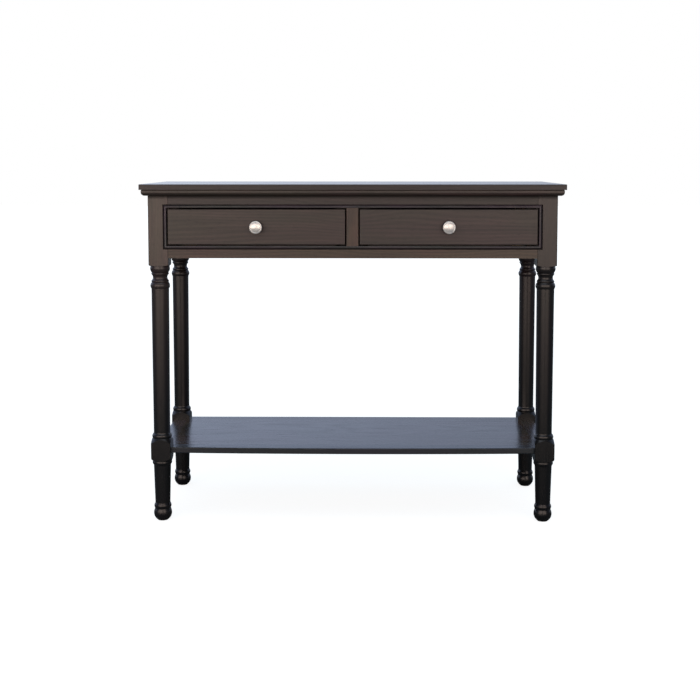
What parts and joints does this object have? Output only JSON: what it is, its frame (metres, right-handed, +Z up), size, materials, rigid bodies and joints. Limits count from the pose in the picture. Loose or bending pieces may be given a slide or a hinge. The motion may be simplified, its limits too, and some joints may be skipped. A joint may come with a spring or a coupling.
{
  "type": "console table",
  "caption": "Console table with turned legs, inset drawers in a beaded opening, a moulded top and a low shelf between the legs.",
  "frame": {"origin": "on the floor, under the middle of the table top", "axes": "+X to the right as seen from the front, +Y to the back, +Z up; the drawers open toward -Y"},
  "size_m": [1, 0.4062, 0.81],
  "materials": {
    "stained_wood": "espresso stain under satin lacquer",
    "plain_wood": "bare, sanded",
    "knob_metal": "polished nickel",
    "screw_steel": "zinc plated",
    "glide_plastic": "moulded"
  },
  "bodies": {
    "frame": {"bottom_bead": "stained_wood", "centre_guide": "plain_wood", "centre_kicker": "plain_wood", "centre_runner": "plain_wood", "centre_stile": "stained_wood", "drawer_stops": "plain_wood", "foot_glides": "glide_plastic", "front_bottom_rail": "stained_wood", "front_left_leg": "stained_wood", "front_moulding": "stained_wood", "front_right_leg": "stained_wood", "front_top_rail": "stained_wood", "left_apron": "stained_wood", "left_bead": "stained_wood", "left_guide": "plain_wood", "left_kicker": "plain_wood", "left_moulding": "stained_wood", "left_runner": "plain_wood", "rear_apron": "stained_wood", "rear_left_leg": "stained_wood", "rear_moulding": "stained_wood", "rear_right_leg": "stained_wood", "right_apron": "stained_wood", "right_bead": "stained_wood", "right_guide": "plain_wood", "right_kicker": "plain_wood", "right_moulding": "stained_wood", "right_runner": "plain_wood", "shelf_front_rail": "stained_wood", "shelf_left_rail": "stained_wood", "shelf_panel": "stained_wood", "shelf_rear_rail": "stained_wood", "shelf_right_rail": "stained_wood", "tabletop": "stained_wood", "top_bead": "stained_wood", "top_screws": "screw_steel"},
    "left_drawer": {"left_drawer_back": "plain_wood", "left_drawer_bottom": "plain_wood", "left_drawer_bottom_screws": "screw_steel", "left_drawer_front": "stained_wood", "left_drawer_inner_side": "plain_wood", "left_drawer_outer_side": "plain_wood", "left_knob": "knob_metal", "left_knob_screw": "screw_steel"},
    "right_drawer": {"right_drawer_back": "plain_wood", "right_drawer_bottom": "plain_wood", "right_drawer_bottom_screws": "screw_steel", "right_drawer_front": "stained_wood", "right_drawer_inner_side": "plain_wood", "right_drawer_outer_side": "plain_wood", "right_knob": "knob_metal", "right_knob_screw": "screw_steel"}
  },
  "joints": [
    {"name": "left_drawer_slide", "type": "slide", "parent": "frame", "child": "left_drawer", "axis": [0, -1, 0], "range_m": [0, 0.25]},
    {"name": "right_drawer_slide", "type": "slide", "parent": "frame", "child": "right_drawer", "axis": [0, -1, 0], "range_m": [0, 0.25]}
  ]
}
